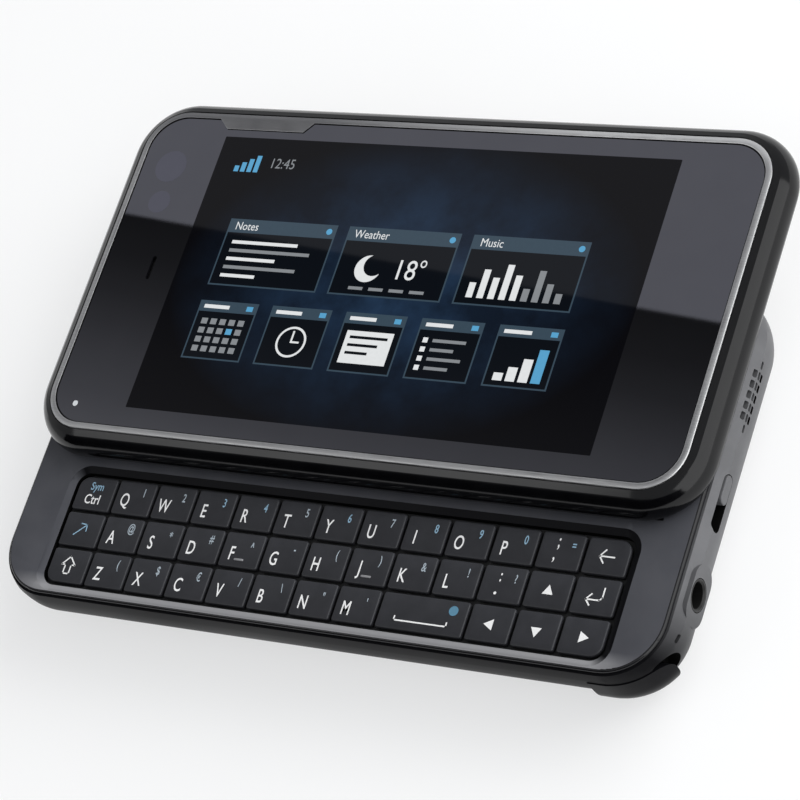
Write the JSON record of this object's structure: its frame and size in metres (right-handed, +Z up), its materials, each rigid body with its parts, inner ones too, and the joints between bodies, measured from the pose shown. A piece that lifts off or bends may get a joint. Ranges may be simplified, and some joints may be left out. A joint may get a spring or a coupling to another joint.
{
  "type": "slider phone",
  "caption": "Slider phone held landscape: a display lid slides back on rails to bare a keyboard; stylus, kickstand and sliding lens cover",
  "frame": {"origin": "middle of the flat underside of the base, in the rest plane", "axes": "+X along the long side towards the jack, +Y away from the user towards the open lid, +Z up through the keyboard"},
  "size_m": [0.1103, 0.0818, 0.018],
  "materials": {
    "case_lacquer": "dark grey lacquered plastic with a fine metallic flake",
    "deck_lacquer": "dark blue-grey lacquered plastic, glossy",
    "board_laminate": "green solder-masked laminate with steel cans",
    "cover_plastic": "soft-touch dark plastic",
    "battery_wrap": "plain grey plastic wrap",
    "slide_steel": "brushed stainless steel",
    "lens_plastic": "black moulded plastic with a glass lens",
    "jack_plastic": "black moulded plastic with spring contacts",
    "lid_gloss": "piano-black plastic",
    "bezel_metal": "satin stainless steel ring",
    "window_glass": "tinted clear window, polished",
    "display_panel": "dark display panel in a steel tray",
    "sensor_plastic": "black moulded plastic",
    "edge_key_plastic": "dark painted plastic",
    "stand_metal": "dark painted metal",
    "stylus_plastic": "dark lacquered plastic",
    "key_plastic": "satin charcoal plastic with printed letters"
  },
  "bodies": {
    "base": {"base_case": "case_lacquer", "keyboard_deck": "deck_lacquer", "keypad_board": "board_laminate", "battery_cover": "cover_plastic", "battery": "battery_wrap", "main_board": "board_laminate", "slide_rails": "slide_steel", "camera_module": "lens_plastic", "av_jack": "jack_plastic"},
    "lid": {"lid_case": "lid_gloss", "lid_bezel": "bezel_metal", "display_window": "window_glass", "lcd_module": "display_panel", "slide_plate": "slide_steel", "sensor_strip": "sensor_plastic"},
    "lens_cover": {"lens_cover": "edge_key_plastic"},
    "kickstand": {"kickstand": "stand_metal"},
    "stylus": {"stylus": "stylus_plastic"},
    "lock_switch": {"lock_switch": "edge_key_plastic"},
    "volume_key": {"volume_key": "edge_key_plastic"},
    "power_key": {"power_key": "edge_key_plastic"},
    "camera_key": {"camera_key": "edge_key_plastic"},
    "key_ctrl": {"key_ctrl": "key_plastic"},
    "key_q": {"key_q": "key_plastic"},
    "key_w": {"key_w": "key_plastic"},
    "key_e": {"key_e": "key_plastic"},
    "key_r": {"key_r": "key_plastic"},
    "key_t": {"key_t": "key_plastic"},
    "key_y": {"key_y": "key_plastic"},
    "key_u": {"key_u": "key_plastic"},
    "key_i": {"key_i": "key_plastic"},
    "key_o": {"key_o": "key_plastic"},
    "key_p": {"key_p": "key_plastic"},
    "key_semicolon": {"key_semicolon": "key_plastic"},
    "key_backspace": {"key_backspace": "key_plastic"},
    "key_fn": {"key_fn": "key_plastic"},
    "key_a": {"key_a": "key_plastic"},
    "key_s": {"key_s": "key_plastic"},
    "key_d": {"key_d": "key_plastic"},
    "key_f": {"key_f": "key_plastic"},
    "key_g": {"key_g": "key_plastic"},
    "key_h": {"key_h": "key_plastic"},
    "key_j": {"key_j": "key_plastic"},
    "key_k": {"key_k": "key_plastic"},
    "key_l": {"key_l": "key_plastic"},
    "key_colon": {"key_colon": "key_plastic"},
    "key_up": {"key_up": "key_plastic"},
    "key_enter": {"key_enter": "key_plastic"},
    "key_shift": {"key_shift": "key_plastic"},
    "key_z": {"key_z": "key_plastic"},
    "key_x": {"key_x": "key_plastic"},
    "key_c": {"key_c": "key_plastic"},
    "key_v": {"key_v": "key_plastic"},
    "key_b": {"key_b": "key_plastic"},
    "key_n": {"key_n": "key_plastic"},
    "key_m": {"key_m": "key_plastic"},
    "key_space": {"key_space": "key_plastic"},
    "key_left": {"key_left": "key_plastic"},
    "key_down": {"key_down": "key_plastic"},
    "key_right": {"key_right": "key_plastic"}
  },
  "joints": [
    {"name": "lid_slide", "type": "slide", "parent": "base", "child": "lid", "axis": [0, -1, 0], "range_m": [0, 0.022]},
    {"name": "kickstand_turn", "type": "hinge", "parent": "base", "child": "kickstand", "pos_m": [0.0265, 0.01555, 0.0009], "axis": [1, 0, 0], "range_deg": [0, 63]},
    {"name": "lens_cover_slide", "type": "slide", "parent": "base", "child": "lens_cover", "axis": [1, 0, 0], "range_m": [0, 0.0124]},
    {"name": "lock_slide", "type": "slide", "parent": "base", "child": "lock_switch", "axis": [0, -1, 0], "range_m": [0, 0.0039], "stiffness_N_per_m": 150},
    {"name": "camera_press", "type": "slide", "parent": "base", "child": "camera_key", "axis": [0, -1, 0], "range_m": [0, 0.0005], "stiffness_N_per_m": 2000},
    {"name": "power_press", "type": "slide", "parent": "base", "child": "power_key", "axis": [0, -1, 0], "range_m": [0, 0.0003], "stiffness_N_per_m": 2000},
    {"name": "rocker_tilt", "type": "hinge", "parent": "base", "child": "volume_key", "pos_m": [-0.027, 0.02755, 0.0087], "axis": [0, 0, 1], "range_deg": [-2, 2], "stiffness_Nm_per_rad": 0.2},
    {"name": "stylus_pull", "type": "slide", "parent": "base", "child": "stylus", "axis": [1, 0, 0], "range_m": [0, 0.098]},
    {"name": "type_ctrl", "type": "slide", "parent": "base", "child": "key_ctrl", "axis": [0, 0, -1], "range_m": [0, 0.0003], "stiffness_N_per_m": 1500},
    {"name": "type_q", "type": "slide", "parent": "base", "child": "key_q", "axis": [0, 0, -1], "range_m": [0, 0.0003], "stiffness_N_per_m": 1500},
    {"name": "type_w", "type": "slide", "parent": "base", "child": "key_w", "axis": [0, 0, -1], "range_m": [0, 0.0003], "stiffness_N_per_m": 1500},
    {"name": "type_e", "type": "slide", "parent": "base", "child": "key_e", "axis": [0, 0, -1], "range_m": [0, 0.0003], "stiffness_N_per_m": 1500},
    {"name": "type_r", "type": "slide", "parent": "base", "child": "key_r", "axis": [0, 0, -1], "range_m": [0, 0.0003], "stiffness_N_per_m": 1500},
    {"name": "type_t", "type": "slide", "parent": "base", "child": "key_t", "axis": [0, 0, -1], "range_m": [0, 0.0003], "stiffness_N_per_m": 1500},
    {"name": "type_y", "type": "slide", "parent": "base", "child": "key_y", "axis": [0, 0, -1], "range_m": [0, 0.0003], "stiffness_N_per_m": 1500},
    {"name": "type_u", "type": "slide", "parent": "base", "child": "key_u", "axis": [0, 0, -1], "range_m": [0, 0.0003], "stiffness_N_per_m": 1500},
    {"name": "type_i", "type": "slide", "parent": "base", "child": "key_i", "axis": [0, 0, -1], "range_m": [0, 0.0003], "stiffness_N_per_m": 1500},
    {"name": "type_o", "type": "slide", "parent": "base", "child": "key_o", "axis": [0, 0, -1], "range_m": [0, 0.0003], "stiffness_N_per_m": 1500},
    {"name": "type_p", "type": "slide", "parent": "base", "child": "key_p", "axis": [0, 0, -1], "range_m": [0, 0.0003], "stiffness_N_per_m": 1500},
    {"name": "type_semicolon", "type": "slide", "parent": "base", "child": "key_semicolon", "axis": [0, 0, -1], "range_m": [0, 0.0003], "stiffness_N_per_m": 1500},
    {"name": "type_backspace", "type": "slide", "parent": "base", "child": "key_backspace", "axis": [0, 0, -1], "range_m": [0, 0.0003], "stiffness_N_per_m": 1500},
    {"name": "type_fn", "type": "slide", "parent": "base", "child": "key_fn", "axis": [0, 0, -1], "range_m": [0, 0.0003], "stiffness_N_per_m": 1500},
    {"name": "type_a", "type": "slide", "parent": "base", "child": "key_a", "axis": [0, 0, -1], "range_m": [0, 0.0003], "stiffness_N_per_m": 1500},
    {"name": "type_s", "type": "slide", "parent": "base", "child": "key_s", "axis": [0, 0, -1], "range_m": [0, 0.0003], "stiffness_N_per_m": 1500},
    {"name": "type_d", "type": "slide", "parent": "base", "child": "key_d", "axis": [0, 0, -1], "range_m": [0, 0.0003], "stiffness_N_per_m": 1500},
    {"name": "type_f", "type": "slide", "parent": "base", "child": "key_f", "axis": [0, 0, -1], "range_m": [0, 0.0003], "stiffness_N_per_m": 1500},
    {"name": "type_g", "type": "slide", "parent": "base", "child": "key_g", "axis": [0, 0, -1], "range_m": [0, 0.0003], "stiffness_N_per_m": 1500},
    {"name": "type_h", "type": "slide", "parent": "base", "child": "key_h", "axis": [0, 0, -1], "range_m": [0, 0.0003], "stiffness_N_per_m": 1500},
    {"name": "type_j", "type": "slide", "parent": "base", "child": "key_j", "axis": [0, 0, -1], "range_m": [0, 0.0003], "stiffness_N_per_m": 1500},
    {"name": "type_k", "type": "slide", "parent": "base", "child": "key_k", "axis": [0, 0, -1], "range_m": [0, 0.0003], "stiffness_N_per_m": 1500},
    {"name": "type_l", "type": "slide", "parent": "base", "child": "key_l", "axis": [0, 0, -1], "range_m": [0, 0.0003], "stiffness_N_per_m": 1500},
    {"name": "type_colon", "type": "slide", "parent": "base", "child": "key_colon", "axis": [0, 0, -1], "range_m": [0, 0.0003], "stiffness_N_per_m": 1500},
    {"name": "type_up", "type": "slide", "parent": "base", "child": "key_up", "axis": [0, 0, -1], "range_m": [0, 0.0003], "stiffness_N_per_m": 1500},
    {"name": "type_enter", "type": "slide", "parent": "base", "child": "key_enter", "axis": [0, 0, -1], "range_m": [0, 0.0003], "stiffness_N_per_m": 1500},
    {"name": "type_shift", "type": "slide", "parent": "base", "child": "key_shift", "axis": [0, 0, -1], "range_m": [0, 0.0003], "stiffness_N_per_m": 1500},
    {"name": "type_z", "type": "slide", "parent": "base", "child": "key_z", "axis": [0, 0, -1], "range_m": [0, 0.0003], "stiffness_N_per_m": 1500},
    {"name": "type_x", "type": "slide", "parent": "base", "child": "key_x", "axis": [0, 0, -1], "range_m": [0, 0.0003], "stiffness_N_per_m": 1500},
    {"name": "type_c", "type": "slide", "parent": "base", "child": "key_c", "axis": [0, 0, -1], "range_m": [0, 0.0003], "stiffness_N_per_m": 1500},
    {"name": "type_v", "type": "slide", "parent": "base", "child": "key_v", "axis": [0, 0, -1], "range_m": [0, 0.0003], "stiffness_N_per_m": 1500},
    {"name": "type_b", "type": "slide", "parent": "base", "child": "key_b", "axis": [0, 0, -1], "range_m": [0, 0.0003], "stiffness_N_per_m": 1500},
    {"name": "type_n", "type": "slide", "parent": "base", "child": "key_n", "axis": [0, 0, -1], "range_m": [0, 0.0003], "stiffness_N_per_m": 1500},
    {"name": "type_m", "type": "slide", "parent": "base", "child": "key_m", "axis": [0, 0, -1], "range_m": [0, 0.0003], "stiffness_N_per_m": 1500},
    {"name": "type_space", "type": "slide", "parent": "base", "child": "key_space", "axis": [0, 0, -1], "range_m": [0, 0.0003], "stiffness_N_per_m": 1500},
    {"name": "type_left", "type": "slide", "parent": "base", "child": "key_left", "axis": [0, 0, -1], "range_m": [0, 0.0003], "stiffness_N_per_m": 1500},
    {"name": "type_down", "type": "slide", "parent": "base", "child": "key_down", "axis": [0, 0, -1], "range_m": [0, 0.0003], "stiffness_N_per_m": 1500},
    {"name": "type_right", "type": "slide", "parent": "base", "child": "key_right", "axis": [0, 0, -1], "range_m": [0, 0.0003], "stiffness_N_per_m": 1500}
  ]
}
